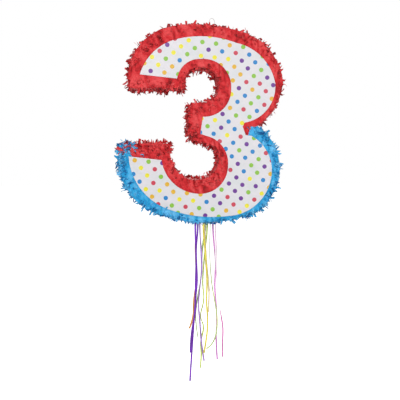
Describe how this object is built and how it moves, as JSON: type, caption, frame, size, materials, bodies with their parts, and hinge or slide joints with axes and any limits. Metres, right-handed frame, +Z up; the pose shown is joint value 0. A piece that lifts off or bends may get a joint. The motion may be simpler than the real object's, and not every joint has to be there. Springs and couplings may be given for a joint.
{
  "type": "pinata",
  "caption": "Hanging pull-string pinata shaped like a number three, with dotted paper faces, tissue fringe, a trap door and hanging ribbons.",
  "frame": {"origin": "top of the hanging loop, where a hook carries the pinata", "axes": "+X to the right and +Z up as the number is read, front face towards -Y, +Y to its back"},
  "size_m": [0.43, 0.087, 0.9806],
  "materials": {
    "cardboard": "matte",
    "printed_paper": "satin",
    "red_tissue": "matte",
    "blue_tissue": "matte",
    "tape": "satin",
    "string": "matte",
    "purple_ribbon": "satin",
    "violet_ribbon": "satin",
    "pink_ribbon": "satin",
    "yellow_ribbon": "satin",
    "mauve_ribbon": "satin",
    "pale_green_ribbon": "satin",
    "peach_ribbon": "satin",
    "green_ribbon": "satin",
    "lime_ribbon": "satin",
    "orange_ribbon": "satin",
    "lilac_ribbon": "satin"
  },
  "bodies": {
    "pinata_body": {"front_panel": "cardboard", "back_panel": "cardboard", "hanger_patch": "cardboard", "front_print": "printed_paper", "back_print": "printed_paper", "fill_hinge_tape": "tape", "hanging_loop": "string", "loop_knots": "string", "upper_terminal_wall": "cardboard", "upper_terminal_fringe": "red_tissue", "upper_bay_wall": "cardboard", "upper_bay_fringe": "red_tissue", "nose_wall": "cardboard", "nose_fringe": "red_tissue", "lower_bay_wall": "cardboard", "lower_bay_fringe": "red_tissue", "lower_terminal_wall": "cardboard", "lower_terminal_fringe": "red_tissue", "upper_left_wall": "cardboard", "upper_left_fringe": "red_tissue", "upper_right_wall": "cardboard", "upper_right_fringe": "red_tissue", "lower_right_wall": "cardboard", "lower_right_fringe": "blue_tissue", "bottom_wall": "cardboard", "bottom_fringe": "blue_tissue", "lower_left_wall": "cardboard", "lower_left_fringe": "blue_tissue"},
    "trap_door": {"trap_door": "cardboard", "trap_door_fringe": "blue_tissue", "release_knot": "lilac_ribbon"},
    "release_ribbon": {"lilac_release_ribbon": "lilac_ribbon"},
    "fill_flap": {"fill_flap": "cardboard", "fill_flap_print": "printed_paper", "fill_flap_tab": "tape"},
    "purple_ribbon": {"purple_ribbon": "purple_ribbon"},
    "pink_ribbon": {"pink_ribbon": "pink_ribbon"},
    "yellow_ribbon": {"yellow_ribbon": "yellow_ribbon"},
    "mauve_ribbon": {"mauve_ribbon": "mauve_ribbon"},
    "pale_green_ribbon": {"pale_green_ribbon": "pale_green_ribbon"},
    "violet_ribbon": {"violet_ribbon": "violet_ribbon"},
    "peach_ribbon": {"peach_ribbon": "peach_ribbon"},
    "green_ribbon": {"green_ribbon": "green_ribbon"},
    "lime_ribbon": {"lime_ribbon": "lime_ribbon"},
    "orange_ribbon": {"orange_ribbon": "orange_ribbon"}
  },
  "joints": [
    {"name": "trap_door_hinge", "type": "hinge", "parent": "pinata_body", "child": "trap_door", "pos_m": [-0.056, 0.016, -0.543], "axis": [0, 1, 0], "range_deg": [0, 100]},
    {"name": "release_ribbon_swing", "type": "hinge", "parent": "trap_door", "child": "release_ribbon", "pos_m": [0.004, 0.008, -0.5445], "axis": [0, 1, 0], "range_deg": [-100, 0]},
    {"name": "fill_flap_hinge", "type": "hinge", "parent": "pinata_body", "child": "fill_flap", "pos_m": [-0.036, 0.0421, -0.069], "axis": [1, 0, 0], "range_deg": [0, 120]},
    {"name": "purple_ribbon_pull", "type": "slide", "parent": "pinata_body", "child": "purple_ribbon", "axis": [0, 0, -1], "range_m": [0, 0.02]},
    {"name": "pink_ribbon_pull", "type": "slide", "parent": "pinata_body", "child": "pink_ribbon", "axis": [0, 0, -1], "range_m": [0, 0.02]},
    {"name": "yellow_ribbon_pull", "type": "slide", "parent": "pinata_body", "child": "yellow_ribbon", "axis": [0, 0, -1], "range_m": [0, 0.02]},
    {"name": "mauve_ribbon_pull", "type": "slide", "parent": "pinata_body", "child": "mauve_ribbon", "axis": [0, 0, -1], "range_m": [0, 0.02]},
    {"name": "pale_green_ribbon_pull", "type": "slide", "parent": "pinata_body", "child": "pale_green_ribbon", "axis": [0, 0, -1], "range_m": [0, 0.02]},
    {"name": "violet_ribbon_pull", "type": "slide", "parent": "pinata_body", "child": "violet_ribbon", "axis": [0, 0, -1], "range_m": [0, 0.02]},
    {"name": "peach_ribbon_pull", "type": "slide", "parent": "pinata_body", "child": "peach_ribbon", "axis": [0, 0, -1], "range_m": [0, 0.02]},
    {"name": "green_ribbon_pull", "type": "slide", "parent": "pinata_body", "child": "green_ribbon", "axis": [0, 0, -1], "range_m": [0, 0.02]},
    {"name": "lime_ribbon_pull", "type": "slide", "parent": "pinata_body", "child": "lime_ribbon", "axis": [0, 0, -1], "range_m": [0, 0.02]},
    {"name": "orange_ribbon_pull", "type": "slide", "parent": "pinata_body", "child": "orange_ribbon", "axis": [0, 0, -1], "range_m": [0, 0.02]}
  ],
  "couplings": [
    {"joint": "release_ribbon_swing", "follows": "trap_door_hinge", "ratio": -1}
  ]
}
